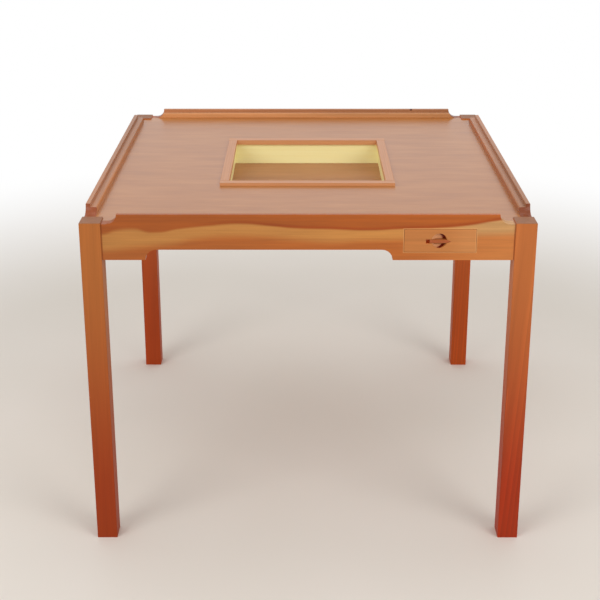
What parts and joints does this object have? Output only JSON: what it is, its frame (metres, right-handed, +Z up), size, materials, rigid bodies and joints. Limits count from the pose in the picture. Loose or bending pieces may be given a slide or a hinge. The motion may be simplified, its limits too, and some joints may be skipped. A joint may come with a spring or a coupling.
{
  "type": "mahjong table with drawers",
  "caption": "Square wooden mahjong table with a raised coved rim, a sunk tile well in the middle of the top and a small sliding drawer at each player's right hand.",
  "frame": {"origin": "on the floor under the middle of the table", "axes": "+Z up, -Y towards the side seen from the front, +X to the right from that side"},
  "size_m": [0.914, 0.914, 0.74],
  "materials": {
    "cherry_veneer": "satin lacquered cherry veneer",
    "well_floor_veneer": "satin lacquered veneer",
    "cherry_leg": "satin lacquered cherry",
    "cherry_rim": "satin lacquered cherry, heartwood above and sapwood below",
    "cherry_frame": "satin lacquered cherry",
    "cherry_drawer": "satin lacquered cherry",
    "pull_wood": "satin lacquered darker wood",
    "pale_wood": "satin pale wood",
    "drawer_wood": "sanded pale wood",
    "drawer_ply": "sanded plywood",
    "hidden_wood": "planed, unfinished",
    "screw_steel": "zinc plated"
  },
  "bodies": {
    "frame": {"table_top": "cherry_veneer", "well_floor": "well_floor_veneer", "leg_front_right": "cherry_leg", "apron_front": "cherry_rim", "corner_block_front_right": "hidden_wood", "well_frame_front": "cherry_frame", "well_wall_front": "pale_wood", "bearer_front": "hidden_wood", "front_runner_left": "hidden_wood", "front_runner_right": "hidden_wood", "leg_rear_right": "cherry_leg", "apron_right": "cherry_rim", "corner_block_rear_right": "hidden_wood", "well_frame_right": "cherry_frame", "well_wall_right": "pale_wood", "bearer_right": "hidden_wood", "right_runner_left": "hidden_wood", "right_runner_right": "hidden_wood", "leg_rear_left": "cherry_leg", "apron_rear": "cherry_rim", "corner_block_rear_left": "hidden_wood", "well_frame_rear": "cherry_frame", "well_wall_rear": "pale_wood", "bearer_rear": "hidden_wood", "rear_runner_left": "hidden_wood", "rear_runner_right": "hidden_wood", "leg_front_left": "cherry_leg", "apron_left": "cherry_rim", "corner_block_front_left": "hidden_wood", "well_frame_left": "cherry_frame", "well_wall_left": "pale_wood", "bearer_left": "hidden_wood", "left_runner_left": "hidden_wood", "left_runner_right": "hidden_wood", "top_screws": "screw_steel"},
    "drawer_front": {"front_drawer_side_left": "drawer_wood", "front_drawer_side_right": "drawer_wood", "front_drawer_face": "cherry_drawer", "front_drawer_pull": "pull_wood", "front_drawer_back": "drawer_wood", "front_drawer_bottom": "drawer_ply"},
    "drawer_right": {"right_drawer_side_left": "drawer_wood", "right_drawer_side_right": "drawer_wood", "right_drawer_face": "cherry_drawer", "right_drawer_pull": "pull_wood", "right_drawer_back": "drawer_wood", "right_drawer_bottom": "drawer_ply"},
    "drawer_rear": {"rear_drawer_side_left": "drawer_wood", "rear_drawer_side_right": "drawer_wood", "rear_drawer_face": "cherry_drawer", "rear_drawer_pull": "pull_wood", "rear_drawer_back": "drawer_wood", "rear_drawer_bottom": "drawer_ply"},
    "drawer_left": {"left_drawer_side_left": "drawer_wood", "left_drawer_side_right": "drawer_wood", "left_drawer_face": "cherry_drawer", "left_drawer_pull": "pull_wood", "left_drawer_back": "drawer_wood", "left_drawer_bottom": "drawer_ply"}
  },
  "joints": [
    {"name": "drawer_front_slide", "type": "slide", "parent": "frame", "child": "drawer_front", "axis": [0, -1, 0], "range_m": [0, 0.19]},
    {"name": "drawer_right_slide", "type": "slide", "parent": "frame", "child": "drawer_right", "axis": [1, 0, 0], "range_m": [0, 0.19]},
    {"name": "drawer_rear_slide", "type": "slide", "parent": "frame", "child": "drawer_rear", "axis": [0, 1, 0], "range_m": [0, 0.19]},
    {"name": "drawer_left_slide", "type": "slide", "parent": "frame", "child": "drawer_left", "axis": [-1, 0, 0], "range_m": [0, 0.19]}
  ]
}
